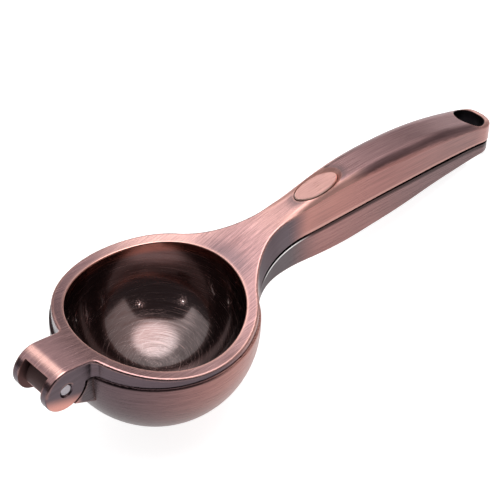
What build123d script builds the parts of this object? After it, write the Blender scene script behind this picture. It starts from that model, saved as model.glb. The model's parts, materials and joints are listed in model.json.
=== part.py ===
"""Hinged lemon squeezer: a press lever over a cup lever, joined by a steel pin, closed.

The levers are drawn in the tool's own frame, in millimetres: the origin is the centre of the
cup's mouth, the parting plane is z = 0, +X runs down the handles and +Z is up. At the end the
closed tool is laid down as it lies on a table, on its cup and the tip of its lower handle.
"""

from build123d import *
import os
from math import asin, cos, hypot, radians, sin, sqrt, tan

# --- Rings and bowls -------------------------------------------------------------------
RING_R = 36.0  # press ring, outside
CUP_LEDGE = 0.8  # the cup's rim stands out below the press ring
CUP_R = RING_R + CUP_LEDGE  # cup, outside
CUP_WALL = 2.8
CUP_CENTRE_Z = -3.5  # centre of the cup's ball shape
RING_WIDTH = 4.5
PRESS_R = RING_R - RING_WIDTH  # press bowl, inside
PRESS_WALL = 2.0
PRESS_CENTRE_Z = 6.0  # centre of the press bowl's ball shape
PARTING_GAP = 0.3  # between the closed rims
TAIL_GAP = 1.45  # between the closed handles at their tips

# --- Strainer --------------------------------------------------------------------------
STRAINER_HOLE_R = 2.2
STRAINER_PITCH = 7.6  # between the rows, and between the holes of a row
STRAINER_ROWS = 2  # round the middle hole; each has six holes more than the one inside it

# --- Hinge -----------------------------------------------------------------------------
PIN_X = -(RING_R + 10.9)
PIN_Z = 0.9
PIN_R = 2.4
PIN_RUNNING = 0.05  # radial clearance in the knuckle, which turns on the pin
PIN_SEATED = 0.02  # radial clearance in the ears, which hold the pin
PIN_RECESS = 0.3  # each end lies this far inside its ear
PIN_ROUND = 0.7  # rounding of the pin's ends
EAR_CHAMFER = 0.5
EAR_R = 8.8
EAR_THICK = 3.2
HEAD_WIDTH = 18.4  # over both ears
HOOD_THICK = 1.9
HOOD_LIP_DEG = 126.0  # the hood ends here, counted from +X over the top
TONGUE_FILLET = 2.5  # in plan, where the tongue runs into the ring
KNUCKLE_R = 6.3
KNUCKLE_WIDTH = 9.0
RELIEF = 0.35  # the lug is hollowed this far outside the ears
LUG_FRONT = PIN_X + 2.4  # the lug's underside starts here
LUG_FRONT_Z = -7.2
LUG_SLOPE_DEG = 27.5  # and falls towards the cup

# --- Handles ---------------------------------------------------------------------------
TAIL_X = 158.0  # centre of the rounded tip
TAIL_R = 7.2
TAIL_INSET = 0.3  # the lower tip is this much smaller
EYE_X = 156.5  # centre of the hanging eye
EYE_R = 5.9
EYE_CHAMFER = 0.4
NECK_HALF = 5.5  # half the width of the neck where it is slimmest
NECK_R = 46.0  # radius of the neck's hollow in plan, at the parting
NECK_TOP_R = 32.0  # and on top of the press lever
NECK_RISE = 11.0  # over this height
# Half width of the handles beyond the neck.
WIDTH_LINE = ((74.0, 6.2), (87.0, 7.0), (101.0, 7.7), (118.0, 8.15), (138.0, 7.8))
SAG_START = 91.5  # the parting line drops beyond this point
SAG = 0.0016  # drop per square millimetre

# Along the press lever: x, height of its top, and how wide and how deep its flanks fall away.
TOP_LINE = (
    (-72.0, 4.2, 4.0, 1.0),
    (-59.0, 7.5, 4.0, 1.0),
    (-47.0, 9.7, 4.0, 1.0),
    (-35.0, 7.5, 4.0, 1.0),
    (-18.0, 3.7, 4.0, 1.0),
    (0.0, 2.4, 4.0, 1.0),
    (18.0, 3.7, 4.0, 1.0),
    (36.0, 7.85, 4.0, 1.2),
    (48.0, 11.25, 3.4, 1.8),
    (62.0, 13.3, 3.0, 3.4),
    (76.0, 15.5, 3.4, 5.0),
    (90.0, 16.25, 4.0, 5.6),
    (104.0, 15.8, 4.8, 6.7),
    (128.0, 12.2, 5.0, 6.3),
    (145.0, 7.45, 4.5, 4.7),
    (157.0, 3.05, 4.2, 3.7),
    (180.0, -7.9, 4.2, 3.2),
)
# The same for the cup lever's underside, whose flanks rise.
KEEL_LINE = (
    (6.0, -4.4, 4.0, 0.2),
    (24.0, -4.7, 4.0, 0.4),
    (36.0, -5.6, 4.0, 0.8),
    (48.0, -8.8, 4.0, 1.1),
    (62.0, -12.1, 4.4, 1.2),
    (78.0, -13.6, 4.8, 1.3),
    (88.0, -13.7, 5.2, 1.3),
    (104.0, -12.9, 5.6, 1.4),
    (130.0, -11.3, 5.6, 1.4),
    (142.0, -11.4, 5.4, 1.3),
    (157.0, -12.2, 5.0, 1.1),
    (180.0, -13.4, 5.0, 1.0),
)
FLANK_SPARE = 0.6  # the flanks run this far past the handle's sides
NECK_SPARE = 2.0  # and this far past the middle of the neck
NECK_MIDDLE = 48.0
RIM_ROUND = 0.8  # worn outer corners of the castings
MOUTH_ROUND = 0.5  # inner edge of the press ring
KEEL_ROUND = 0.9  # lower corners of the lower handle

# --- Hollows in the handles, open towards the parting ------------------------------------
CORE_START = 62.0
CORE_END = 145.0
CORE_WALL = 2.4
CORE_ROOF = 3.6
CORE_RIB = 2.4
CORE_RIBS = 2

# --- Oval inlay ------------------------------------------------------------------------
INLAY_X = 75.9
INLAY_LONG = 19.6
INLAY_WIDE = 8.5
INLAY_THICK = 1.8
INLAY_TOP = 15.15
INLAY_TILT = 2.5  # degrees, rising towards the tip
INLAY_EDGE = 0.35
INLAY_GROOVE = 0.3  # open groove round the plate
INLAY_DISH = 0.6  # bevel of the seat's mouth, below the plate's top

BEYOND = 60.0  # blocks that only have to pass the castings
STATION = 12.0  # spacing of the sections through the crowned surfaces
SIDE_SPOTS = 12  # steps of a handle's side in plan


def along(line, x, column):
    """Value of a line's column at x, smoothly through its stations."""
    last = len(line) - 2
    i = max(k for k in range(last + 1) if k == 0 or line[k][0] <= x)
    before, start, end, after = (line[max(0, min(last + 1, i + k))] for k in (-1, 0, 1, 2))
    span = end[0] - start[0]
    t = min(1.0, max(0.0, (x - start[0]) / span))
    leave = (end[column] - before[column]) / (end[0] - before[0]) * span
    arrive = (after[column] - start[column]) / (after[0] - start[0]) * span
    a, b = start[column], end[column]
    return (
        a * (2 * t**3 - 3 * t**2 + 1)
        + b * (3 * t**2 - 2 * t**3)
        + leave * (t**3 - 2 * t**2 + t)
        + arrive * (t**3 - t**2)
    )


def neck_centre(neck_r):
    """Centre of the neck's hollow, which is tangent to the ring."""
    side = NECK_HALF + neck_r
    return sqrt((RING_R + neck_r) ** 2 - side**2), side


def side_line(neck_x, tail):
    """Stations of a handle's side, with one beyond each end that keeps it straight there."""
    first, last = WIDTH_LINE[0], WIDTH_LINE[-1]
    lead = (2 * neck_x - first[0], first[1])
    follow = (2 * TAIL_X - last[0], last[1])
    return (lead, (neck_x, NECK_HALF)) + WIDTH_LINE + ((TAIL_X, tail), follow)


def half_width(x):
    """Half the width of the neck and handle at x, at the parting."""
    neck_x, neck_y = neck_centre(NECK_R)
    if x < neck_x:
        return neck_y - sqrt(NECK_R**2 - (neck_x - max(x, RING_R)) ** 2)
    return along(side_line(neck_x, TAIL_R), min(x, TAIL_X), 1)


def side_curve(neck_x, tail):
    """The same side as one smooth curve, from the neck to the tip."""
    line = side_line(neck_x, tail)
    spots = [neck_x + (TAIL_X - neck_x) * i / SIDE_SPOTS for i in range(SIDE_SPOTS + 1)]
    return Spline(*((x, along(line, x, 1)) for x in spots), tangents=[(1, 0), (1, 0)])


def sheet_breadth(x):
    """How far to each side the crowned surfaces are carried: past the ring, then the handle."""
    neck_x = neck_centre(NECK_R)[0]
    wide = RING_R + TAIL_R
    if x < NECK_MIDDLE:
        slim = half_width(NECK_MIDDLE) + NECK_SPARE
        start = RING_R / 3
        t = min(1.0, max(0.0, (x - start) / (NECK_MIDDLE - start)))
        return wide - (wide - slim) * t * t * (3 - 2 * t)
    t = min(1.0, (x - NECK_MIDDLE) / (TOP_LINE[10][0] - NECK_MIDDLE))
    return half_width(x) + NECK_SPARE - (NECK_SPARE - FLANK_SPARE) * t * (2 - t)


def flank(x, breadth, wide, fall, height, side, edge):
    """Quarter of an oval on one side of a crowned section, from its level middle to its edge."""
    tight = 4 / 3 * (sqrt(2) - 1)
    inner = breadth - wide
    return Bezier(
        (x, edge * inner, height),
        (x, edge * (inner + tight * wide), height),
        (x, edge * breadth, height - side * fall * (1 - tight)),
        (x, edge * breadth, height - side * fall),
    )


def crowned_body(line, side):
    """Block on one side of a doubly curved face: level in the middle, with falling flanks."""
    start, end = line[0][0], line[-1][0]
    count = round((end - start) / STATION)
    sections = []
    for i in range(count + 1):
        x = start + (end - start) * i / count
        breadth = sheet_breadth(x)
        height, wide, fall = (along(line, x, column) for column in (1, 2, 3))
        near = flank(x, breadth, wide, fall, height, side, -1)
        far = flank(x, breadth, wide, fall, height, side, 1)
        middle = Line((x, wide - breadth, height), (x, breadth - wide, height))
        foot, base = height - side * fall, -side * BEYOND
        rest = Polyline((x, breadth, foot), (x, breadth, base), (x, -breadth, base), (x, -breadth, foot))
        sections.append(make_face(Curve() + [near, middle, far, rest]))
    return loft(sections)


def parting_height(x, gap):
    """Height of the parting face: flat at the cup, sagging along the handles."""
    sag = -SAG * max(0.0, x - SAG_START) ** 2
    share = max(0.0, (x - RING_R) / (TAIL_X - RING_R))
    return sag + (PARTING_GAP + (TAIL_GAP - PARTING_GAP) * share if gap else 0.0)


def parting_body(gap, side):
    """Everything above (side 1) or below (side -1) the parting face."""
    tip = TAIL_X + 2 * TAIL_R
    front = PIN_X - 2 * EAR_R
    half = (tip - SAG_START) / 2
    heights = [parting_height(x, gap) for x in (RING_R, SAG_START, SAG_START + half, tip)]
    lead = 2 * heights[2] - (heights[1] + heights[3]) / 2
    curve = Bezier((SAG_START, heights[1]), (SAG_START + half, lead), (tip, heights[3]))
    far = side * BEYOND
    corners = [(tip, heights[3]), (tip, far), (front, far), (front, heights[0]), (RING_R, heights[0])]
    if not gap:
        corners.pop()
    rest = Polyline(*corners, (SAG_START, heights[1]))
    return extrude(Plane.XZ * make_face(curve + rest), amount=BEYOND, both=True)


def plan_outline(neck_r, inset=0.0):
    """Plan of a lever: ring, neck and handle with its rounded tip."""
    neck_x, neck_y = neck_centre(neck_r)
    turn = asin(neck_y / (RING_R + neck_r))
    half_turn = radians(45) + turn / 2
    tail = TAIL_R - inset
    leave = (RING_R * cos(turn), RING_R * sin(turn))
    middle = (neck_x - neck_r * cos(half_turn), neck_y - neck_r * sin(half_turn))
    neck = ThreePointArc(leave, middle, (neck_x, NECK_HALF))
    side = side_curve(neck_x, tail)
    tip = ThreePointArc((TAIL_X, tail), (TAIL_X + tail, 0), (TAIL_X, -tail))
    ring = ThreePointArc(leave, (-RING_R, 0), (leave[0], -leave[1]))
    return make_face(Curve() + [neck, side, tip, mirror(neck, Plane.XZ), mirror(side, Plane.XZ), ring])


def pin_profile(sketch):
    """A side-view sketch drawn about the pin, placed in the tool's frame."""
    return Plane(origin=(PIN_X, 0, PIN_Z), x_dir=(1, 0, 0), z_dir=(0, -1, 0)) * sketch


def pin_round(radius, width):
    """A round bar on the hinge axis."""
    return extrude(pin_profile(Circle(radius)), amount=width / 2, both=True)


def knuckle_slot():
    """Room for the knuckle between the ears, under the hood."""
    lip = radians(HOOD_LIP_DEG)
    far = 2 * EAR_R
    open_front = Polyline(
        (0, 0),
        (far * cos(lip), far * sin(lip)),
        (-far, far * sin(lip)),
        (-far, -far),
        (far, -far),
        (far, PARTING_GAP - PIN_Z),
        (0, PARTING_GAP - PIN_Z),
        close=True,
    )
    profile = Circle(EAR_R - HOOD_THICK) + make_face(open_front)
    return extrude(pin_profile(profile), amount=HEAD_WIDTH / 2 - EAR_THICK, both=True)


def eye_hole():
    """The hanging eye, through both levers."""
    return Pos(EYE_X, 0, 0) * Cylinder(EYE_R, 2 * BEYOND)


def bevelled_eye(bar):
    """Bevel the upper mouth of the hanging eye."""
    rim = picked(bar, lambda x, y, z: abs(hypot(x - EYE_X, y) - EYE_R) < 0.01 and z > parting_height(x, True) + 1)
    return chamfer([edge for edge in rim if edge.geom_type != GeomType.LINE], EYE_CHAMFER)


def on_inlay(height):
    """Plane of the inlay's top face, moved along its normal by the given height."""
    return Pos(INLAY_X, 0, INLAY_TOP) * Rot(0, -INLAY_TILT, 0) * Pos(0, 0, height)


def inlay_seat():
    """Oval pocket for the inlay, with a bevelled mouth that opens through the crown."""
    seat = Ellipse(INLAY_LONG / 2 + INLAY_GROOVE, INLAY_WIDE / 2 + INLAY_GROOVE)
    pocket = extrude(on_inlay(-INLAY_THICK) * seat, amount=INLAY_THICK)
    return pocket + extrude(on_inlay(-INLAY_DISH) * seat, amount=4 * INLAY_DISH, taper=-45)


def handle_core(line, side):
    """Hollow of a handle: inside its walls and roof, split by cross ribs."""
    length = CORE_END - CORE_START
    half = half_width(CORE_START) - CORE_WALL
    room = Pos((CORE_START + CORE_END) / 2, 0, 0) * Box(length, 2 * half, 2 * BEYOND)
    for i in range(CORE_RIBS):
        rib_x = CORE_START + length * (i + 1) / (CORE_RIBS + 1)
        room -= Pos(rib_x, 0, 0) * Box(CORE_RIB, 2 * BEYOND, 3 * BEYOND)
    room = fillet(room.edges().filter_by(Axis.Z), half * 0.6)
    return room & (Pos(0, 0, -side * CORE_ROOF) * crowned_body(line, side))


def picked(body, test):
    """Edges of a body whose middle passes a test on x, y and z."""
    return [edge for edge in body.edges() if test(*tuple(edge @ 0.5))]


def build_oval_inlay():
    """Bare oval plate."""
    oval = Ellipse(INLAY_LONG / 2, INLAY_WIDE / 2)
    plate = extrude(on_inlay(-INLAY_THICK) * oval, amount=INLAY_THICK)
    return chamfer(plate.faces().sort_by(Axis.Z)[-1].edges(), INLAY_EDGE)


def build_hinge_pin():
    """Plain pin with rounded ends."""
    return round_bar(PIN_R, HEAD_WIDTH - 2 * PIN_RECESS, PIN_ROUND)


def press_plate():
    """Ring, tongue, neck and handle, without the bowl."""
    root = -sqrt(RING_R**2 - HEAD_WIDTH**2 / 4)
    reach = root + TONGUE_FILLET - PIN_X
    tongue = Circle(RING_R) + Pos(PIN_X, 0) * Rectangle(reach, HEAD_WIDTH, align=(Align.MIN, Align.CENTER))
    corners = [v for v in tongue.vertices() if abs(v.X - root) < TONGUE_FILLET / 2]
    tongue = fillet(corners, TONGUE_FILLET)
    foot, top = plan_outline(NECK_R), plan_outline(NECK_TOP_R)
    levels = [Pos(0, 0, -BEYOND) * foot, foot, Pos(0, 0, NECK_RISE) * top, Pos(0, 0, BEYOND) * top]
    block = loft(levels, ruled=True) + extrude(tongue, amount=BEYOND, both=True)
    return block & parting_body(True, 1) & crowned_body(TOP_LINE, 1)


def press_plug(radius):
    """Ball-bottomed plug of the given radius, straight above the ball's centre."""
    column = Cylinder(radius, BEYOND, align=(Align.CENTER, Align.CENTER, Align.MIN))
    return Pos(0, 0, PRESS_CENTRE_Z) * (Sphere(radius) + column)


def round_bar(radius, width, edge):
    """A round bar on the hinge axis with rounded ends."""
    bar = pin_round(radius, width)
    return fillet(bar.edges().filter_by(GeomType.CIRCLE), edge)


def pin_hole(clearance):
    """Hole for the pin, with bevelled mouths on the outside of the ears."""
    hole = pin_round(PIN_R + clearance, 2 * HEAD_WIDTH)
    mouth = Plane(origin=(PIN_X, 0, PIN_Z), x_dir=(1, 0, 0), z_dir=(0, -1, 0)) * Pos(0, 0, HEAD_WIDTH / 2)
    cone = mouth * Cone(PIN_R, PIN_R + 2 * EAR_CHAMFER, 2 * EAR_CHAMFER)
    return hole + cone + mirror(cone, Plane.XZ)


def build_press_lever():
    """Ring, press bowl, tongue with hood and ears, neck and upper handle."""
    plate = press_plate()
    rim = picked(plate, lambda x, y, z: z > parting_height(x, True) + 1.5 and x > PIN_X + 1)
    plate = fillet(rim, RIM_ROUND)
    below = Box(3 * RING_R, 3 * RING_R, BEYOND, align=(Align.CENTER, Align.CENTER, Align.MAX))
    bowl = press_plug(PRESS_R + PRESS_WALL) & Pos(0, 0, 2 * PARTING_GAP) * below
    plate -= press_plug(PRESS_R)
    mouth = picked(plate, lambda x, y, z: hypot(x, y) < PRESS_R + MOUTH_ROUND and z > 2 * PARTING_GAP)
    plate = fillet(mouth, MOUTH_ROUND)
    body = plate + round_bar(EAR_R, HEAD_WIDTH, RIM_ROUND) + (bowl - press_plug(PRESS_R))
    body -= knuckle_slot()
    body -= pin_hole(PIN_SEATED)
    body = bevelled_eye(body - eye_hole())
    body -= inlay_seat()
    body -= handle_core(TOP_LINE, 1)
    return body


def strainer_holes():
    """Upright juice holes in the cup's bottom."""
    hole = Cylinder(STRAINER_HOLE_R, BEYOND)
    spots = [Pos(0, 0, -BEYOND) * hole]
    for row in range(1, STRAINER_ROWS + 1):
        for k in range(6 * row):
            turn = radians(60 * k / row)
            row_r = STRAINER_PITCH * row
            spots.append(Pos(row_r * cos(turn), row_r * sin(turn), -BEYOND) * hole)
    return Part() + spots


def cup_plug(radius):
    """Ball-bottomed plug up to the parting plane."""
    column = Cylinder(radius, -CUP_CENTRE_Z, align=(Align.CENTER, Align.CENTER, Align.MIN))
    above = Box(2 * BEYOND, 2 * BEYOND, BEYOND, align=(Align.CENTER, Align.CENTER, Align.MIN))
    return Pos(0, 0, CUP_CENTRE_Z) * (Sphere(radius) - above + column)


def lug_profile(front):
    """Side view of the lug from its front to inside the cup's wall."""
    back = -RING_R + CUP_WALL / 2

    def under(x):
        return LUG_FRONT_Z - (x - LUG_FRONT) * tan(radians(LUG_SLOPE_DEG))

    corners = Polyline((front, 0), (back, 0), (back, under(back)), (front, under(front)), close=True)
    return Plane.XZ * make_face(corners)


def build_lug():
    """Full-width lug with the web and knuckle in its middle."""
    block = extrude(lug_profile(LUG_FRONT), amount=HEAD_WIDTH / 2, both=True)
    block -= pin_round(EAR_R + RELIEF, 2 * HEAD_WIDTH)
    web_front = PIN_X - KNUCKLE_R * sin(radians(LUG_SLOPE_DEG))
    web = extrude(lug_profile(web_front), amount=KNUCKLE_WIDTH / 2, both=True)
    return block + web + pin_round(KNUCKLE_R, KNUCKLE_WIDTH)


def cup_handle():
    """Neck and lower handle, from inside the cup's wall to the tip."""
    start = Pos(RING_R - CUP_WALL, 0) * Rectangle(TAIL_X, 2 * RING_R, align=(Align.MIN, Align.CENTER))
    plan = plan_outline(NECK_R, TAIL_INSET) & start
    bar = extrude(plan, amount=BEYOND, both=True) & parting_body(False, -1) & crowned_body(KEEL_LINE, -1)
    corners = picked(bar, lambda x, y, z: x > RING_R and z < parting_height(x, False) - 2 and abs(y) > 1)
    return fillet(corners, KEEL_ROUND)


def build_cup_lever():
    """Cup with strainer holes, front lug with the knuckle, neck and lower handle."""
    cup = cup_plug(CUP_R)
    cup = fillet(cup.edges().group_by(Axis.Z)[-1], RIM_ROUND)
    body = cup + cup_handle() + build_lug()
    body -= cup_plug(CUP_R - CUP_WALL)
    body -= strainer_holes()
    body -= pin_round(PIN_R + PIN_RUNNING, 2 * HEAD_WIDTH)
    body -= eye_hole()
    body -= handle_core(KEEL_LINE, -1)
    return body


def lying_turn():
    """Turn at which the cup's ball and the lower handle's tip both touch the table."""
    handle = cup_handle()

    def spare(turn):
        ball = CUP_CENTRE_Z * cos(radians(turn)) - CUP_R
        return (Rot(0, turn, 0) * handle).bounding_box().min.Z - ball

    low, high = 5.0, 15.0
    for _ in range(4):
        turn = low + (high - low) * spare(low) / (spare(low) - spare(high))
        low, high = turn, turn + 0.1
    return low


def main():
    os.makedirs("parts", exist_ok=True)
    nodes = {
        "press_lever": build_press_lever(),
        "cup_lever": build_cup_lever(),
        "hinge_pin": build_hinge_pin(),
        "oval_inlay": build_oval_inlay(),
    }
    turn = lying_turn()
    laid = {name: Rot(0, turn, 0) * part for name, part in nodes.items()}
    boxes = [part.bounding_box() for part in laid.values()]
    middle = (min(box.min.X for box in boxes) + max(box.max.X for box in boxes)) / 2
    floor = min(box.min.Z for box in boxes)
    for name, part in laid.items():
        export_step(Pos(-middle, 0, -floor) * part, f"parts/{name}.step")


main()
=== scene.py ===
"""Studio scene for the hinged squeezer: antique copper levers, steel pin and bare oval inlay."""

import json
from math import atan2, cos, radians, sin

import bpy
from mathutils import Matrix, Vector

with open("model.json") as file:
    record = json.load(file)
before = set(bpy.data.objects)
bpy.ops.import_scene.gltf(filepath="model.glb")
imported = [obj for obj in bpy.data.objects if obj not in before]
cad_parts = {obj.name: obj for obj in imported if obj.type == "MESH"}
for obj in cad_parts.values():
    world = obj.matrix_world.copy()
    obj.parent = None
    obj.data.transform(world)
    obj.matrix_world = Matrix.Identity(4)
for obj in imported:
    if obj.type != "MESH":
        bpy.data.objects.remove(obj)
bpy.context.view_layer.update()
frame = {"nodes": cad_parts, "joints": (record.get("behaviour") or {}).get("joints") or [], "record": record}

NODES = frame["nodes"]
EYE_MOUNT = frame["record"]["mounts"][0]
MM = 0.001

# --- The tool's own frame --------------------------------------------------------------
# Millimetres, the origin in the middle of the cup's mouth, +X down the handles, +Z square to
# the mouth. The joint and the hanging eye say how the tool lies on the table.
RING_R = 36.0
PRESS_R = 31.5
PRESS_CENTRE = (0.0, 0.0, 6.0)
PRESS_REACH = 32.3  # the bowl's inside lies within this of its centre
CUP_CENTRE = (0.0, 0.0, -3.5)
CUP_REACH = 35.2
REACH_BLUR = 0.4
SAG_START = 91.5  # the parting line drops beyond this place
SAG = 0.0016  # its drop per square millimetre
PIN = Vector((-46.9, 0.0, 0.9))

EYE_AXIS = Vector(EYE_MOUNT["axis"])
EYE_R = EYE_MOUNT["dims"]["r_mm"]
LIE = atan2(EYE_AXIS.x, EYE_AXIS.z)
TURN = Matrix.Rotation(LIE, 3, "Y")
TOOL_ORIGIN = Vector(frame["joints"][0]["pos_m"]) - TURN @ PIN * MM


def in_row(x, y, z):
    """A point of the tool's own frame in the scene, in metres."""
    return TOOL_ORIGIN + TURN @ Vector((x, y, z)) * MM


def in_tool(point):
    """A point of the scene, in metres, in the tool's own frame."""
    return TURN.inverted() @ (Vector(point) - TOOL_ORIGIN) / MM


def middle_and_half(node):
    """A node's middle and its half sizes, in the tool's own frame."""
    spots = [in_tool(vertex.co) for vertex in NODES[node].data.vertices]
    low, high = (Vector(pick(axis) for axis in zip(*spots)) for pick in (min, max))
    return (high + low) / 2, (high - low) / 2


EYE = in_tool(EYE_MOUNT["pos_m"])
INLAY, INLAY_HALF = middle_and_half("oval_inlay")

# --- Camera ----------------------------------------------------------------------------
# Its place, and its backward and rightward axes, in the tool's own frame.
CAMERA_PLACE = (-385.027, -448.300, 585.346)
CAMERA_BACK = Vector((-0.504421, -0.526642, 0.684257))
CAMERA_RIGHT = Vector((0.738207, -0.674097, 0.025369))
LENS = 172.745
SENSOR = 36.0
CLIP_START = 0.05


def add_camera():
    data = bpy.data.cameras.new("camera")
    data.lens = LENS
    data.sensor_width = SENSOR
    data.clip_start = CLIP_START
    camera = bpy.data.objects.new("camera", data)
    bpy.context.scene.collection.objects.link(camera)
    back, right = (TURN @ axis.normalized() for axis in (CAMERA_BACK, CAMERA_RIGHT))
    axes = Matrix((right, back.cross(right), back)).transposed().to_4x4()
    camera.matrix_world = Matrix.Translation(in_row(*CAMERA_PLACE)) @ axes
    bpy.context.scene.camera = camera


# --- Node trees ------------------------------------------------------------------------
WHITE = (1.0, 1.0, 1.0, 1.0)


class Tree:
    """Short names for making a material's nodes."""

    def __init__(self, owner):
        owner.use_nodes = True
        self.nodes = owner.node_tree.nodes
        self.links = owner.node_tree.links
        self.nodes.clear()

    def add(self, kind, inputs=None, **settings):
        node = self.nodes.new("ShaderNode" + kind)
        for key, value in settings.items():
            setattr(node, key, value)
        for key, value in (inputs or {}).items():
            self.feed(node.inputs[key], value)
        return node

    def feed(self, socket, value):
        if isinstance(value, bpy.types.NodeSocket):
            self.links.new(value, socket)
        else:
            socket.default_value = value

    def feed_all(self, sockets, values):
        for socket, value in zip(sockets, values):
            self.feed(socket, value)

    def math(self, operation, *values):
        node = self.add("Math", operation=operation)
        self.feed_all(node.inputs, values)
        return node.outputs[0]

    def vector(self, operation, *values):
        node = self.add("VectorMath", operation=operation)
        self.feed_all(node.inputs, values)
        is_number = operation in ("LENGTH", "DOT_PRODUCT", "DISTANCE")
        return node.outputs["Value" if is_number else "Vector"]

    def step(self, value, low, high, start=0.0, end=1.0):
        """Smooth step from start, at low, to end, at high."""
        node = self.add("MapRange", interpolation_type="SMOOTHSTEP")
        self.feed_all(node.inputs, (value, low, high, start, end))
        return node.outputs[0]

    def band(self, value, low, rise, fall, high):
        """One between rise and fall, nought below low and above high."""
        return self.times(self.step(value, low, rise), self.step(value, fall, high, 1.0, 0.0))

    def noise(self, vector, scale=1.0, detail=2.0, roughness=0.5):
        inputs = {"Vector": vector, "Scale": scale, "Detail": detail, "Roughness": roughness}
        return self.add("TexNoise", inputs).outputs[0]

    def mix(self, share, first, second):
        """Colour between first and second."""
        node = self.add("Mix", data_type="RGBA", clamp_factor=True)
        self.feed_all((node.inputs[0], node.inputs[6], node.inputs[7]), (share, first, second))
        return node.outputs[2]

    def blend(self, share, first, second):
        """Number between first and second."""
        node = self.add("Mix", data_type="FLOAT", clamp_factor=True)
        self.feed_all((node.inputs[0], node.inputs[2], node.inputs[3]), (share, first, second))
        return node.outputs[0]

    def times(self, *values):
        product = values[0]
        for value in values[1:]:
            product = self.math("MULTIPLY", product, value)
        return product

    def less(self, value):
        """What is left of one."""
        return self.math("SUBTRACT", 1.0, value)

    def size(self, value):
        return self.math("ABSOLUTE", value)

    def combine(self, x, y, z):
        return self.add("CombineXYZ", {0: x, 1: y, 2: z}).outputs[0]

    def split(self, vector):
        return self.add("SeparateXYZ", {0: vector}).outputs

    def glow(self, strength):
        return self.add("Emission", {"Color": WHITE, "Strength": strength}).outputs[0]

    def output(self, shader, kind="OutputMaterial"):
        node = self.add(kind)
        self.links.new(shader, node.inputs["Surface"])


def rgb(red, green, blue):
    """A colour as a picture shows it, 0 to 255, as the shader's linear colour."""
    parts = [c / 255 for c in (red, green, blue)]
    return (*(c / 12.92 if c <= 0.04045 else ((c + 0.055) / 1.055) ** 2.4 for c in parts), 1.0)


# --- Floor, world and lamps ------------------------------------------------------------
FLOOR_R = 12.0
FLOOR_CORNERS = 96
PAPER = rgb(200, 200, 200)
PAPER_GLOW = 0.62  # as the metal mirrors it
PAPER_GLOW_SEEN = 1.38  # how much stronger the camera sees it
CEILING = (0.08, 0.075, 0.08, 1.0)
CEILING_FADE = (0.05, 0.20)  # from the white horizon, in sines of the height

# The soft box is a flat light over the table. Its places are in multiples of its height. A
# fade has the two places where it starts and ends and, if they aren't nought and one, its
# values there.
PANEL_HEIGHT = 1.3
PANEL_STRENGTH = 1.2
PANEL = (
    (-1.06, 0.28),
    (-0.54, 0.20),
    (0.22, -0.66),
    (0.36, -1.76),
    (2.4, -1.76),
    (2.4, 2.4),
    (-1.06, 2.4),
)
PANEL_CORE = (0.26, 0.10, 1.0)
CORE_FADE = (0.33, 0.62, 2.6, 0.0)  # round the core
HINGE_TO_TIP_FADE = (-0.6, 1.4, 1.15, 0.80)  # along X, as the next one
TIP_END_FADE = (1.0, 1.7, 1.0, 0.9)
NEAR_FADE = (-0.6, 0.3, 0.68, 1.0)  # along Y
DIM_FADE_Y = (0.3, 0.7)  # beyond the ring the cloth is dimmer
DIM_FADE_X = (0.1, 0.45, 0.4, 0.0)

# Two small round lamps, far off: degrees from straight up, and from +X towards +Y.
SPARKS = {"spark_hinge_side": (45.6, 183.5), "spark_near_side": (43.0, -94.0)}
SPARK_REACH = 1.6
SPARK_R = 0.019
SPARK_STRENGTH = 64.0


def add_floor():
    """White paper, which glows for the camera and in the metal and lights nothing else."""
    disc = {"vertices": FLOOR_CORNERS, "radius": FLOOR_R, "fill_type": "NGON"}
    bpy.ops.mesh.primitive_circle_add(**disc, location=(0, 0, 0))
    floor = bpy.context.object
    floor.name = "floor"
    material = bpy.data.materials.new("floor")
    tree = Tree(material)
    path = tree.add("LightPath").outputs
    mirrored = tree.math("MAXIMUM", path["Is Glossy Ray"], path["Is Transmission Ray"])
    seen = tree.math("ADD", tree.times(path["Is Camera Ray"], PAPER_GLOW_SEEN), mirrored)
    paper = tree.add("BsdfDiffuse", {"Color": PAPER}).outputs[0]
    glow = tree.glow(tree.times(seen, PAPER_GLOW))
    tree.output(tree.add("AddShader", {0: paper, 1: glow}).outputs[0])
    floor.data.materials.append(material)


def add_world():
    """A pale band at the horizon under a dim ceiling."""
    world = bpy.data.worlds.new("studio")
    bpy.context.scene.world = world
    tree = Tree(world)
    _, _, up = tree.split(tree.add("TexCoord").outputs["Generated"])
    colour = tree.mix(tree.step(up, *CEILING_FADE), WHITE, CEILING)
    tree.output(tree.add("Background", {"Color": colour}).outputs[0], "OutputWorld")


def panel_power(tree):
    """Power over the soft box: a hot core in an uneven cloth."""
    place = tree.vector("DIVIDE", tree.add("TexCoord").outputs["Object"], (PANEL_HEIGHT,) * 3)
    x, y, _ = tree.split(place)
    hot = tree.step(tree.vector("DISTANCE", place, PANEL_CORE), *CORE_FADE)
    dim = tree.times(tree.step(y, *DIM_FADE_Y), tree.step(x, *DIM_FADE_X))
    cloth = tree.times(
        tree.step(x, *HINGE_TO_TIP_FADE),
        tree.step(x, *TIP_END_FADE),
        tree.step(y, *NEAR_FADE),
        tree.less(dim),
    )
    return tree.times(tree.math("ADD", hot, cloth), PANEL_STRENGTH)


def add_panel(name):
    mesh = bpy.data.meshes.new(name)
    corners = [(x * PANEL_HEIGHT, y * PANEL_HEIGHT, PANEL_HEIGHT) for x, y in PANEL]
    mesh.from_pydata(corners, [], [tuple(range(len(corners)))])
    panel = bpy.data.objects.new(name, mesh)
    bpy.context.scene.collection.objects.link(panel)
    panel.visible_camera = False
    material = bpy.data.materials.new(name)
    tree = Tree(material)
    tree.output(tree.glow(panel_power(tree)))
    mesh.materials.append(material)


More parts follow.
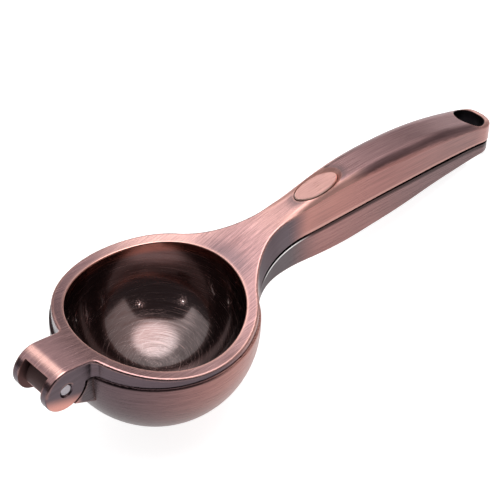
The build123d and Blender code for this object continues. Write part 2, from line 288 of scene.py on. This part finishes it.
def add_spark(name, tilt, azimuth):
    across, turn = radians(tilt), radians(azimuth)
    heading = Vector((sin(across) * cos(turn), sin(across) * sin(turn), cos(across)))
    place = SPARK_REACH * heading
    bpy.ops.mesh.primitive_ico_sphere_add(subdivisions=2, radius=SPARK_R, location=place)
    lamp = bpy.context.object
    lamp.name = name
    lamp.visible_camera = False
    material = bpy.data.materials.new(name)
    tree = Tree(material)
    tree.output(tree.glow(SPARK_STRENGTH))
    lamp.data.materials.append(material)


# --- What all the metals share ---------------------------------------------------------
# A shade is a colour as a picture shows it, 0 to 255, or a pair of them for the dark and the
# light strokes of the grain. A polish is the pair of roughnesses of the same strokes. A fade
# is as above, and a span rises between its first two places and falls between its last two:
# both lie along the tool where nothing else is said. A level is the upright share of the
# direction that a face looks in, and a height is over the parting line.
COAT_ROUGH = 0.03
RELIEF = 0.22
RELIEF_DEPTH = 0.04


def tool_place(tree):
    """Place in the tool's own frame, in millimetres, and the surface's direction there."""
    coords = tree.add("TexCoord").outputs
    spin = (0.0, -LIE, 0.0)
    moved = {"Vector": coords["Object"], "Location": in_tool((0.0, 0.0, 0.0)), "Rotation": spin}
    place = tree.add("Mapping", {**moved, "Scale": (1 / MM,) * 3})
    turned = {"Vector": coords["Normal"], "Rotation": spin}
    facing = tree.add("Mapping", turned, vector_type="NORMAL")
    return place.outputs[0], facing.outputs[0]


class Metal:
    """A metal's material, with the places and directions that its colours are made from."""

    def __init__(self, name):
        self.material = bpy.data.materials.new(name)
        self.tree = tree = Tree(self.material)
        self.place, facing = tool_place(tree)
        self.x, self.y, self.z = tree.split(self.place)
        _, self.aside, self.level = tree.split(facing)
        self.grain = None

    def fade(self, low, high, start=0.0, end=1.0):
        """Smooth step along the tool."""
        return self.tree.step(self.x, low, high, start, end)

    def span(self, low, rise, fall, high):
        """A stretch of the tool."""
        return self.tree.band(self.x, low, rise, fall, high)

    def off_axis(self, x, y, half_x=1.0, half_y=1.0):
        """Distance from an upright axis, in the half sizes of an oval round it."""
        away = self.tree.vector("SUBTRACT", self.place, (x, y, 0.0))
        scaled = self.tree.vector("MULTIPLY", away, (1 / half_x, 1 / half_y, 0.0))
        return self.tree.vector("LENGTH", scaled)

    def strokes(self, x, y, z, detail=4.0, roughness=0.7):
        """Noise at a place whose three values are stretched to make strokes."""
        return self.tree.noise(self.tree.combine(x, y, z), 1.0, detail, roughness)

    def tone(self, shade, grain=None):
        """A shade's colour, with the metal's own grain or another one."""
        if isinstance(shade, bpy.types.NodeSocket):
            return shade
        if isinstance(shade[0], tuple):
            dark, light = shade
            return self.tree.mix(grain or self.grain, rgb(*dark), rgb(*light))
        return rgb(*shade)

    def paint(self, shade, *layers):
        """A shade, and over it each layer's shade where the layer's mask says."""
        colour = self.tone(shade)
        for mask, over in layers:
            colour = self.tree.mix(mask, colour, self.tone(over))
        return colour

    def rub(self, polish, *layers):
        """A polish, and over it each layer's roughness where the layer's mask says."""
        rough = self.tree.blend(self.grain, *polish)
        for mask, over in layers:
            rough = self.tree.blend(mask, rough, over)
        return rough

    def finish(self, colour, rough, coat, relief):
        tree = self.tree
        shader = tree.add("BsdfPrincipled", {"Metallic": 1.0, "Coat Roughness": COAT_ROUGH})
        bumps = {"Strength": RELIEF, "Distance": RELIEF_DEPTH * MM, "Height": relief}
        bump = tree.add("Bump", bumps).outputs[0]
        keys = ("Base Color", "Roughness", "Coat Weight", "Normal")
        tree.feed_all([shader.inputs[key] for key in keys], (colour, rough, coat, bump))
        tree.output(shader.outputs[0])
        return self.material


# --- Castings --------------------------------------------------------------------------
# Strokes per millimetre along and across the grain, and the layer of the noise that they are
# in. Round the bowls the first is per radian round the tool's upright axis.
TOP_STROKES = (0.07, 2.4, 3.0)
WALL_STROKES = (0.045, 2.0, 9.0)
BALL_STROKES = (2.2, 1.8, 5.0)
GRAIN_FADE = (0.27, 0.73)
WALL_LEVEL = (0.45, 0.80, 1.0, 0.0)
LATERAL_FADE = (0.6, 0.8)  # the direction's share across the tool
BOWL_END = (30.0, 38.0, 1.0, 0.0)  # the bowls end here and the handles begin
WEAR_R = 1.3
WEAR_FADE = (0.004, 0.09)
RECESS_REACH = 3.0
RECESS_FADE = (0.35, 0.9, 1.0, 0.0)
EYE_WALL_FADE = (EYE_R + 0.05, EYE_R + 0.35, 1.0, 0.0)
SAMPLES = 4  # of the worn edges and of the recesses

# Sets of scratches in a bowl: how far their pole is moved along the tool, their rows per radian
# down from the pole, and their strokes round it.
SCRATCHES = ((0.0, 88.0, 1.0), (9.0, 112.0, 1.4), (-7.0, 100.0, 1.2))
POLE_ASIDE = 0.4
SCRATCH_FADE = (0.38, 0.70)

# Painted shadow inside the hanging eye.
EYE_SHADOW_BLACK = (30, 26, 30)
# Painted shadow on the faces that meet at the parting line.
PARTING_SHADOW_BROWN = (44, 34, 35)


class Casting(Metal):
    """A brushed casting, with its worn edges and the recesses where the patina stays."""

    def __init__(self, name):
        super().__init__(name)
        tree = self.tree
        self.lateral = tree.step(tree.size(self.aside), *LATERAL_FADE)
        self.ring = self.off_axis(0.0, 0.0)
        self.side = tree.step(tree.size(self.level), *WALL_LEVEL)
        self.round = self.fade(*BOWL_END)
        self.seam = self.seam_height()
        self.grain = self.brush_strokes()

    def seam_height(self):
        """Height over the parting line."""
        tree = self.tree
        past = tree.math("MAXIMUM", tree.math("SUBTRACT", self.x, SAG_START), 0.0)
        return tree.math("ADD", self.z, tree.times(past, past, SAG))

    def brush_strokes(self):
        """Grain: along the tool on top, level round the bowls and along the handles."""
        tree = self.tree
        along, across, layer = TOP_STROKES
        top = self.strokes(tree.times(self.x, along), tree.times(self.y, across), layer)
        along, across, layer = WALL_STROKES
        x, z = tree.times(self.x, along), tree.times(self.seam, across)
        wall = self.strokes(x, layer, z, roughness=0.65)
        about, across, layer = BALL_STROKES
        turn = tree.times(tree.math("ARCTAN2", self.y, self.x), about)
        ball = self.strokes(turn, layer, tree.times(self.z, across))
        level = tree.blend(self.round, wall, ball)
        return tree.step(tree.blend(self.side, top, level), *GRAIN_FADE)

    def edges(self):
        """Worn edges of the casting."""
        tree = self.tree
        soft = tree.add("Bevel", {"Radius": WEAR_R * MM}, samples=SAMPLES).outputs[0]
        sharp = tree.add("NewGeometry").outputs["Normal"]
        return tree.step(tree.less(tree.vector("DOT_PRODUCT", soft, sharp)), *WEAR_FADE)

    def recesses(self):
        """Inner corners and slots."""
        distance = {"Distance": RECESS_REACH * MM}
        sky = self.tree.add("AmbientOcclusion", distance, only_local=True, samples=SAMPLES)
        return self.tree.step(sky.outputs["AO"], *RECESS_FADE)

    def eye_wall(self):
        """The wall of the hanging eye."""
        return self.tree.step(self.off_axis(EYE.x, EYE.y), *EYE_WALL_FADE)

    def inside(self, centre, reach):
        """The inner wall of a bowl whose round floor has this centre."""
        off = self.tree.vector("DISTANCE", self.place, centre)
        return self.tree.step(off, reach, reach + REACH_BLUR, 1.0, 0.0)

    def scratches(self, centre):
        """Fine scratches of a turned bowl, round its pole."""
        tree = self.tree
        sets = []
        for shift, rows, strokes in SCRATCHES:
            pole = (centre[0] + shift, POLE_ASIDE * shift, centre[2])
            place = tree.vector("SUBTRACT", self.place, pole)
            _, _, rise = tree.split(place)
            flat = tree.vector("MULTIPLY", place, (1.0, 1.0, 0.0))
            down = tree.math("ARCTAN2", tree.vector("LENGTH", flat), tree.times(rise, -1.0))
            x, y, _ = tree.split(tree.vector("NORMALIZE", flat))
            x, y = tree.math("ADD", tree.times(x, strokes), shift), tree.times(y, strokes)
            sets.append(self.strokes(x, y, tree.times(down, rows), roughness=0.75))
        first, second, third = sets
        others = tree.math("MAXIMUM", second, third)
        return tree.step(tree.blend(0.5, first, others), *SCRATCH_FADE)


# --- Press lever -----------------------------------------------------------------------
CLOUDS = 0.045  # per millimetre
RING_MIDDLE = (RING_R + PRESS_R) / 2

TOP = ((130, 99, 99), (176, 138, 137))
# Rubbed lighter on the neck's top, partly a painted highlight.
TOP_RUBBED_AND_SHEEN = ((186, 144, 140), (216, 168, 161))
# Painted shade on the ring's far side, towards the hinge.
TOP_FAR_PAINTED_SHADE = ((118, 91, 94), (156, 122, 123))
# Painted highlight on the ring's far side, towards the neck.
TOP_FAR_PAINTED_LIGHT = ((186, 146, 142), (226, 182, 174))
TOP_ROOT = ((100, 82, 86), (142, 116, 118))
# Darker patina on the crown and the tongue, partly painted shade.
TOP_CROWN_PATINA_AND_SHADE = ((140, 108, 110), (170, 134, 134))
TOP_TIP = ((194, 138, 126), (230, 172, 158))
RIM_LIGHT = (214, 168, 158)
RIM_FADE = (0.8, 2.4)  # from the middle of the ring's width
RIM_OUT_FADE = (RING_R + 0.1, RING_R + 1.4, 1.0, 0.0)  # from the ring's axis, as the next one
RIM_OUTER_FADE = (RING_MIDDLE - 0.15, RING_MIDDLE + 0.45)
BESIDE_BOWL_FADE = (18.0, 26.0, 1.0, 0.0)  # both ways along the tool
RUBBED_AND_SHEEN_SPAN = (40.0, 56.0, 66.0, 80.0)
FAR_SIDE_FADE = (4.0, 22.0)  # across the tool
FAR_NECK_FADE = (40.0, 56.0, 1.0, 0.0)
FAR_LIGHT_FADE = (-6.0, 20.0)
ROOT_OVAL = (32.0, -1.0, 8.0, 15.0)  # middle and half sizes of the stain at the neck's root
ROOT_FADE = (0.25, 1.0, 0.85, 0.0)  # from its middle to its edge
ROOT_CLOUD = (0.3, 0.6, 0.7, 1.0)
CROWN_FADE = (74.0, 112.0)
CROWN_CLOUD = (0.3, 0.7, 0.75, 1.0)
TONGUE_FADE = (-34.0, -40.0)
TIP_FADE = (150.0, 160.0)

WALL = ((130, 91, 87), (162, 113, 108))
WALL_BRIGHT = ((150, 104, 98), (179, 126, 117))
WALL_DULL = ((120, 90, 88), (150, 112, 108))
WALL_TIP = ((164, 120, 114), (200, 150, 142))
PATINA = ((80, 68, 73), (97, 83, 89))
PATINA_NECK = ((80, 66, 72), (98, 82, 88))
BRIGHT_SPAN = (60.0, 68.0, 72.0, 104.0)
DULL_FADE = (96.0, 150.0)
TIP_WALL_FADE = (152.0, 162.0, 0.0, 0.7)
NECK_SPAN = (34.0, 37.0, 44.0, 58.0)
BARE_BALL_SPAN = (-6.0, 22.0, 29.0, 36.0)
BARE_HANDLE_FADE = (57.0, 68.0)

EAR_LIGHT = (212, 150, 138)
SLOT_BROWN = (104, 74, 72)
# Wear and a painted highlight along the hood's bend.
BEND_WORN_AND_HIGHLIGHT = (228, 180, 168)
EAR_FADE = (-38.5, -37.5, 1.0, 0.0)
EAR_DOWN = (-0.35, 0.0, -0.94)  # the ears are worn bright on this side of the pin
EAR_WORN_FADE = (1.6, 7.4)  # from the pin
SLOT_FADE = (8.4, 8.8, 1.0, 0.0)  # across the tool
BEND_ANGLES = (80, 94, 102, 120)  # a span round the pin, in degrees up from +X
BEND_FADE = (-46.0, -48.0)

HALO_GREY = (84, 76, 80)
# A soft painted highlight on the shoulders.
SHOULDER_HIGHLIGHT = ((184, 137, 129), (212, 163, 152))
# Painted dark reflection on the handle's sloping sides.
FLANK_DARK_REFLECTION = (88, 64, 66)
LIP_LIGHT = (206, 158, 148)
WORN_LIGHT = (222, 166, 152)
# Painted shadow in the parting gap.
GAP_SHADOW_BLACK = (24, 15, 17)
RECESS_BROWN = (62, 48, 50)
HALO_FADE = (1.02, 1.6, 1.0, 0.0)  # in the inlay's half sizes
SHOULDER_LEVEL = (0.36, 0.46, 0.90, 0.97)
SHOULDER_SPAN = (54.0, 62.0, 84.0, 98.0)
SHOULDER_TOP_SPAN = (52.0, 60.0, 72.0, 82.0)
SHOULDER_TOP_LEVEL = (0.4, 0.6)
SHOULDER_ASIDE = (2.0, 4.2)  # across the tool
FLANK_LEVEL = (0.50, 0.60, 0.86, 0.97)
FLANK_FADE = (86.0, 102.0)
LIP_FADE = (60.0, 70.0)
LIP_HEIGHT = (1.6, 2.6, 1.0, 0.0)
WORN_HEIGHT = (1.2, 3.0)
WORN_HANDLE_FADE = (30.0, 62.0, 0.75, 0.4)
WORN_HINGE_FADE = (-40.0, -36.0, 0.45, 1.0)
GAP_THICKNESS = (60.0, 80.0, 0.75, 0.45)
GAP_FADE = (36.0, 42.0)
RECESS_HINGE_FADE = (-40.0, -34.0, 0.4, 0.8)
UNDER_SHADOW_LEVEL = (-0.9, -0.6, 1.0, 0.0)
UNDER_SHADOW_OUT_FADE = (RING_R, RING_R + 2.0)

BRONZE = (74, 56, 54)
# Painted light: the bowl's far inner wall lighter and redder.
BRONZE_FAR_PAINTED_LIGHT = (104, 66, 60)
BRONZE_SCRATCHED = (134, 119, 119)
BRONZE_RUBBED = (156, 110, 98)
BRONZE_LIP = (160, 101, 87)
BRONZE_FAR_FADE = (0.0, 17.0, 0.0, 0.8)  # across the tool
MOUTH_FADE = (PRESS_R - 0.02, PRESS_R + 0.22, 1.0, 0.0)
MOUTH_HEIGHT = 2.4
MOUTH_RISE = 0.0041  # per square millimetre along the tool
UNDER_MOUTH_FADE = (2.3, 4.6, 1.0, 0.0)
RUB_FADE = (0.52, 1.0)  # the lightest scratches

PRESS_POLISH = (0.19, 0.28)
BRONZE_POLISH = (0.16, 0.38)
NECK_ROUGH, SLOT_ROUGH, SHOULDER_ROUGH, GAP_ROUGH = 0.5, 0.6, 0.46, 0.9
NECK_ROUGH_SPAN = (32.0, 37.0, 48.0, 62.0)
HANDLE_ROUGH_FADE = (84.0, 104.0, 0.0, 0.10)  # added


def press_rim(part):
    """Bright lines on the ring's edges: all of the inner one, the outer one beside the bowl."""
    tree = part.tree
    off_middle = tree.size(tree.math("SUBTRACT", part.ring, RING_MIDDLE))
    lines = tree.times(tree.step(off_middle, *RIM_FADE), tree.step(part.ring, *RIM_OUT_FADE))
    beside_bowl = tree.step(tree.size(part.x), *BESIDE_BOWL_FADE)
    return tree.times(lines, tree.blend(tree.step(part.ring, *RIM_OUTER_FADE), 1.0, beside_bowl))


def press_top(part):
    """The upper faces."""
    tree = part.tree
    cloud = tree.noise(part.place, CLOUDS)
    # Painted light on the ring's far side: painted shade towards the hinge, a warm painted highlight towards
    # the neck.
    far = tree.times(tree.step(part.y, *FAR_SIDE_FADE), part.fade(*FAR_NECK_FADE))
    root = tree.step(part.off_axis(*ROOT_OVAL), *ROOT_FADE)
    # Darker patina on the crown and the tongue, partly painted shade.
    crown = tree.math("MAXIMUM", part.fade(*CROWN_FADE), part.fade(*TONGUE_FADE))
    return part.paint(
        TOP,
        # Rubbed lighter on the neck, partly a painted highlight.
        (tree.times(part.span(*RUBBED_AND_SHEEN_SPAN), 0.75), TOP_RUBBED_AND_SHEEN),
        (tree.times(far, 0.85), TOP_FAR_PAINTED_SHADE),
        (tree.times(far, part.fade(*FAR_LIGHT_FADE)), TOP_FAR_PAINTED_LIGHT),
        (tree.times(root, tree.step(cloud, *ROOT_CLOUD)), TOP_ROOT),
        (tree.times(crown, tree.step(cloud, *CROWN_CLOUD)), TOP_CROWN_PATINA_AND_SHADE),
        (part.fade(*TIP_FADE), TOP_TIP),
        (tree.times(press_rim(part), 0.65), RIM_LIGHT),
    )


def press_wall(part):
    """The standing faces: patina, and bare copper beside the bowl and on the handle."""
    bare = part.tree.math("MAXIMUM", part.span(*BARE_BALL_SPAN), part.fade(*BARE_HANDLE_FADE))
    copper = part.paint(
        WALL,
        (part.span(*BRIGHT_SPAN), WALL_BRIGHT),
        (part.fade(*DULL_FADE), WALL_DULL),
        (part.fade(*TIP_WALL_FADE), WALL_TIP),
    )
    return part.paint(PATINA, (part.span(*NECK_SPAN), PATINA_NECK), (bare, copper))


def press_hinge(part):
    """The hinge's masks: the ears, their worn side, the slot between them and the hood's bend, worn and lit
    by a painted highlight.
    """
    tree = part.tree
    from_pin = tree.vector("SUBTRACT", part.place, PIN)
    right, _, up = tree.split(from_pin)
    angle = tree.math("ARCTAN2", up, right)
    ear = tree.times(part.lateral, part.fade(*EAR_FADE))
    worn = tree.step(tree.vector("DOT_PRODUCT", from_pin, EAR_DOWN), *EAR_WORN_FADE)
    slot = tree.times(ear, tree.step(tree.size(part.y), *SLOT_FADE))
    bend = tree.band(angle, *(radians(degrees) for degrees in BEND_ANGLES))
    bend = tree.times(bend, part.fade(*BEND_FADE), tree.less(part.lateral), 0.6)
    return ear, worn, slot, bend


def press_shoulder(part):
    """The rounded shoulders beside the inlay, dulled by fingers and painted lighter as a soft highlight."""
    tree = part.tree
    slope = tree.times(tree.band(part.level, *SHOULDER_LEVEL), part.span(*SHOULDER_SPAN))
    outer = tree.times(
        tree.step(tree.size(part.y), *SHOULDER_ASIDE),
        part.span(*SHOULDER_TOP_SPAN),
        tree.step(part.level, *SHOULDER_TOP_LEVEL),
    )
    return tree.math("MAXIMUM", slope, outer)


def press_bronze(part, lines, rubs):
    """The bowl: dark bronze under lacquer, scratched round its pole, worn red under its lip."""
    tree = part.tree
    mouth = tree.math("MULTIPLY_ADD", tree.times(part.x, part.x), MOUTH_RISE, MOUTH_HEIGHT)
    under_mouth = tree.math("SUBTRACT", mouth, part.z)
    return part.paint(
        BRONZE,
        # Painted light: the bowl's far inner wall lighter and redder.
        (tree.step(part.y, *BRONZE_FAR_FADE), BRONZE_FAR_PAINTED_LIGHT),
        (lines, BRONZE_SCRATCHED),
        (tree.times(rubs, 0.4), BRONZE_RUBBED),
        (tree.step(under_mouth, *UNDER_MOUTH_FADE), BRONZE_LIP),
    )


def press_copper():
    """Antique copper of the press lever, with its dark lacquered bowl."""
    part = Casting("antique_copper_press")
    tree = part.tree
    ear, ear_worn, slot, bend = press_hinge(part)
    shoulder = press_shoulder(part)
    halo = tree.step(part.off_axis(*INLAY.xy, *INLAY_HALF.xy), *HALO_FADE)
    # Painted dark reflection on the handle's sloping sides, towards the tip.
    flank_dark_reflection = tree.times(tree.band(part.level, *FLANK_LEVEL), part.fade(*FLANK_FADE))
    lip = tree.times(part.side, part.fade(*LIP_FADE), tree.step(part.seam, *LIP_HEIGHT))
    worn = tree.times(part.edges(), tree.step(part.seam, *WORN_HEIGHT))
    worn = tree.times(worn, part.fade(*WORN_HANDLE_FADE), part.fade(*WORN_HINGE_FADE))
    # Painted shadow of the parting gap on the press lever's lower edge, past the neck.
    gap = tree.math("LESS_THAN", part.seam, part.fade(*GAP_THICKNESS))
    gap = tree.times(gap, part.fade(*GAP_FADE))
    # Painted shadow on the downward faces outside the ring, over the parting line.
    under = tree.times(tree.step(part.level, *UNDER_SHADOW_LEVEL), tree.step(part.ring, *UNDER_SHADOW_OUT_FADE))
    inside = tree.times(part.inside(PRESS_CENTRE, PRESS_REACH), tree.step(part.ring, *MOUTH_FADE))
    lines = part.scratches(PRESS_CENTRE)
    rubs = tree.step(lines, *RUB_FADE)
    colour = part.paint(
        press_top(part),
        (part.side, press_wall(part)),
        (ear, part.paint(PATINA, (ear_worn, EAR_LIGHT))),
        (slot, SLOT_BROWN),
        # Wear and a painted highlight along the hood's bend.
        (bend, BEND_WORN_AND_HIGHLIGHT),
        (tree.times(halo, 0.7), HALO_GREY),
        # A soft painted highlight on the shoulders.
        (tree.times(shoulder, 0.8), SHOULDER_HIGHLIGHT),
        (tree.times(flank_dark_reflection, 0.6), FLANK_DARK_REFLECTION),
        (tree.times(lip, 0.5), LIP_LIGHT),
        (worn, WORN_LIGHT),
        (gap, GAP_SHADOW_BLACK),
        (tree.times(part.recesses(), part.fade(*RECESS_HINGE_FADE)), RECESS_BROWN),
        # Painted shadow inside the hanging eye.
        (part.eye_wall(), EYE_SHADOW_BLACK),
        (under, PARTING_SHADOW_BROWN),
        (inside, press_bronze(part, lines, rubs)),
    )
    rough = part.rub(
        PRESS_POLISH,
        (tree.times(part.side, part.span(*NECK_ROUGH_SPAN)), NECK_ROUGH),
        (slot, SLOT_ROUGH),
        (shoulder, SHOULDER_ROUGH),
        (gap, GAP_ROUGH),
    )
    rough = tree.math("ADD", rough, part.fade(*HANDLE_ROUGH_FADE))
    rough = tree.blend(inside, rough, tree.blend(rubs, *BRONZE_POLISH))
    relief = tree.blend(inside, part.grain, tree.times(lines, 0.3))
    return part.finish(colour, rough, tree.times(inside, 0.9), relief)


# --- Cup lever -------------------------------------------------------------------------
CUP_BALL = ((140, 98, 93), (178, 127, 118))
# Painted shade on the cup's ball, towards the hinge.
CUP_BALL_PAINTED_SHADE = ((78, 64, 68), (100, 83, 87))
CUP_HANDLE = ((132, 94, 92), (166, 121, 116))
CUP_DULL = ((102, 80, 80), (128, 101, 101))
CUP_PATINA = ((80, 70, 73), (98, 87, 90))
# The knuckle painted lighter: painted light against the hood's shade.
KNUCKLE_PAINTED_LIGHT = ((166, 131, 129), (194, 155, 151))
CUP_INSIDE = ((70, 54, 50), (126, 104, 97))
CUP_WORN_LIGHT = (214, 158, 144)
CUP_RECESS_BROWN = (56, 46, 46)
# Painted shadow on the cup lever just under the parting line.
SEAM_SHADOW_BROWN = (48, 27, 27)
GLINT_WHITE = (255, 252, 250)
# Painted shadow of the parting gap, as a black line.
GAP_LINE_SHADOW_BLACK = (20, 12, 14)
# Painted shadow on the cup's rim under the ring's edge.
RING_SEAM_SHADOW_BLACK = (40, 30, 32)
BALL_PAINTED_SHADE_FADE = (-38.0, 12.0)
CUP_DULL_FADE = (70.0, 136.0)
CUP_BARE_FADE = (57.0, 76.0)
LUG_FADE = (-37.0, -34.0, 1.0, 0.0)
KNUCKLE_FADE = (-43.0, -40.0, 1.0, 0.0)
CUP_WORN_HEIGHT = (-3.0, -1.2, 1.0, 0.0)
CUP_WORN_FADE = (-30.0, 12.0, 0.15, 0.6)
CUP_RECESS_FADE = (-41.0, -37.0, 0.15, 0.8)
UPPER_SHADOW_LEVEL = (0.6, 0.9)
UPPER_SHADOW_HEIGHT = (-0.8, -0.3)
UPPER_SHADOW_FADE = (36.0, 39.0)
SEAM_SHADOW_HEIGHT = (-2.1, -0.9)
SEAM_SHADOW_FADE = (58.0, 74.0)
GLINT_SPAN = (39.0, 44.0, 58.0, 70.0)
GLINT_HEIGHT = (-1.35, -1.0, -0.75, -0.5)
GAP_LINE_SPAN = (38.0, 43.0, 62.0, 78.0)
GAP_LINE_HEIGHT = (-0.75, -0.5)
RING_SEAM_SHADOW_Z = (-1.2, -0.5)
RING_SEAM_SHADOW_FADE = (-12.0, 8.0, 0.85, 0.1)

CUP_POLISH = (0.24, 0.34)
CUP_INSIDE_POLISH = (0.16, 0.28)
KNUCKLE_ROUGH, CUP_NECK_ROUGH, GAP_LINE_ROUGH = 0.6, 0.5, 0.9
CUP_NECK_ROUGH_SPAN = (34.0, 38.0, 48.0, 62.0)


def cup_seam(part):
    """Masks beside the parting line: its painted shadow, painted shadow on the upper faces, a painted glint,
    a black line as the gap's painted shadow, and painted shadow on the rim under the ring.
    """
    tree = part.tree
    # Painted shadow on the cup lever's wall just under the parting line.
    shade = tree.times(tree.step(part.seam, *SEAM_SHADOW_HEIGHT), part.fade(*SEAM_SHADOW_FADE))
    # Painted shadow on the cup lever's upward faces at the parting line, under the press lever.
    upper = tree.times(
        tree.step(part.level, *UPPER_SHADOW_LEVEL),
        tree.step(part.seam, *UPPER_SHADOW_HEIGHT),
        part.fade(*UPPER_SHADOW_FADE),
    )
    glint = tree.times(part.span(*GLINT_SPAN), tree.band(part.seam, *GLINT_HEIGHT))
    # Painted shadow of the parting gap: a black line along the cup lever's top edge.
    gap_line_shadow = tree.times(part.span(*GAP_LINE_SPAN), tree.step(part.seam, *GAP_LINE_HEIGHT))
    # Painted shadow on the cup's rim under the ring's edge, strongest towards the hinge.
    ring_seam_shadow = tree.times(part.round, tree.step(part.z, *RING_SEAM_SHADOW_Z), part.fade(*RING_SEAM_SHADOW_FADE))
    return shade, upper, glint, gap_line_shadow, ring_seam_shadow


def cup_copper():
    """Antique copper of the cup lever, with its dark cup."""
    part = Casting("antique_copper_cup")
    tree = part.tree
    seam_shadow, upper, glint, gap_line_shadow, ring_seam_shadow = cup_seam(part)
    knuckle = part.fade(*KNUCKLE_FADE)
    clear = tree.math("MAXIMUM", tree.step(part.seam, *CUP_WORN_HEIGHT), part.round)
    worn = tree.times(part.edges(), clear, part.fade(*CUP_WORN_FADE))
    handle = part.paint(CUP_HANDLE, (part.fade(*CUP_DULL_FADE), CUP_DULL))
    inside = part.inside(CUP_CENTRE, CUP_REACH)
    lines = part.scratches(CUP_CENTRE)
    colour = part.paint(
        CUP_PATINA,
        (part.fade(*CUP_BARE_FADE), handle),
        # Painted shade on the cup's ball, towards the hinge.
        (part.round, part.paint(CUP_BALL_PAINTED_SHADE, (part.fade(*BALL_PAINTED_SHADE_FADE), CUP_BALL))),
        # The knuckle painted lighter: painted light against the hood's shade.
        (part.fade(*LUG_FADE), part.paint(CUP_PATINA, (knuckle, KNUCKLE_PAINTED_LIGHT))),
        (worn, CUP_WORN_LIGHT),
        (tree.times(part.recesses(), part.fade(*CUP_RECESS_FADE)), CUP_RECESS_BROWN),
        # Painted shadow inside the hanging eye.
        (part.eye_wall(), EYE_SHADOW_BLACK),
        # Painted shadow on the cup lever just under the parting line.
        (tree.times(seam_shadow, 0.92), SEAM_SHADOW_BROWN),
        # Painted shadow on the cup lever's upward faces at the parting line.
        (upper, PARTING_SHADOW_BROWN),
        (glint, GLINT_WHITE),
        # Painted shadow of the parting gap, as a black line.
        (gap_line_shadow, GAP_LINE_SHADOW_BLACK),
        # Painted shadow on the cup's rim under the ring's edge.
        (ring_seam_shadow, RING_SEAM_SHADOW_BLACK),
        (inside, part.tone(CUP_INSIDE, lines)),
    )
    rough = part.rub(
        CUP_POLISH,
        (inside, tree.blend(lines, *CUP_INSIDE_POLISH)),
        (knuckle, KNUCKLE_ROUGH),
        (part.span(*CUP_NECK_ROUGH_SPAN), CUP_NECK_ROUGH),
        (gap_line_shadow, GAP_LINE_ROUGH),
    )
    relief = tree.blend(inside, part.grain, lines)
    return part.finish(colour, rough, tree.times(inside, 0.6), relief)


# --- Inlay and pin ---------------------------------------------------------------------
INLAY_COPPER = ((186, 141, 135), (216, 167, 158))
INLAY_RIM = (236, 192, 180)
INLAY_RIM_LEVEL = (0.80, 0.95, 1.0, 0.0)
INLAY_STROKES = (0.10, 2.4)
INLAY_GRAIN_FADE = (0.28, 0.72)
INLAY_POLISH = (0.26, 0.38)
INLAY_COAT = 0.2

STEEL = ((140, 133, 138), (178, 171, 176))
SPECK_BROWN = (104, 96, 98)
TURNED_STROKES = (5.0, 3.0)  # outward from the pin's axis, and along it
SPECKS = 1.1  # per millimetre
SPECK_FADE = (0.60, 0.68)
STEEL_POLISH = (0.18, 0.30)


def inlay_copper():
    """Light copper of the inlay, brushed along the handle, with a bright bevel."""
    part = Metal("inlay_copper")
    tree = part.tree
    along, across = INLAY_STROKES
    x, y = tree.times(part.x, along), tree.times(part.y, across)
    part.grain = tree.step(part.strokes(x, y, 0.0, detail=5.0, roughness=0.75), *INLAY_GRAIN_FADE)
    bevel = tree.step(part.level, *INLAY_RIM_LEVEL)
    colour = part.paint(INLAY_COPPER, (bevel, INLAY_RIM))
    return part.finish(colour, part.rub(INLAY_POLISH), INLAY_COAT, part.grain)


def pin_steel():
    """Bright turned steel of the pin."""
    part = Metal("pin_steel")
    tree = part.tree
    flat = tree.vector("MULTIPLY", part.place, (1.0, 0.0, 1.0))
    outward, along = TURNED_STROKES
    x = tree.times(tree.vector("DISTANCE", flat, PIN), outward)
    part.grain = part.strokes(x, tree.times(part.y, along), 0.0, roughness=0.6)
    specks = tree.step(tree.noise(part.place, SPECKS, 3.0, 0.6), *SPECK_FADE)
    colour = part.paint(STEEL, (tree.times(specks, 0.7), SPECK_BROWN))
    return part.finish(colour, part.rub(STEEL_POLISH), 0.0, part.grain)


def dress(node, material):
    mesh = NODES[node].data
    mesh.materials.clear()
    mesh.materials.append(material)


add_camera()
add_floor()
add_world()
add_panel("softbox")
for name, heading in SPARKS.items():
    add_spark(name, *heading)
dress("press_lever", press_copper())
dress("cup_lever", cup_copper())
dress("hinge_pin", pin_steel())
dress("oval_inlay", inlay_copper())

SCENE = bpy.context.scene
SCENE.view_settings.view_transform = "Standard"
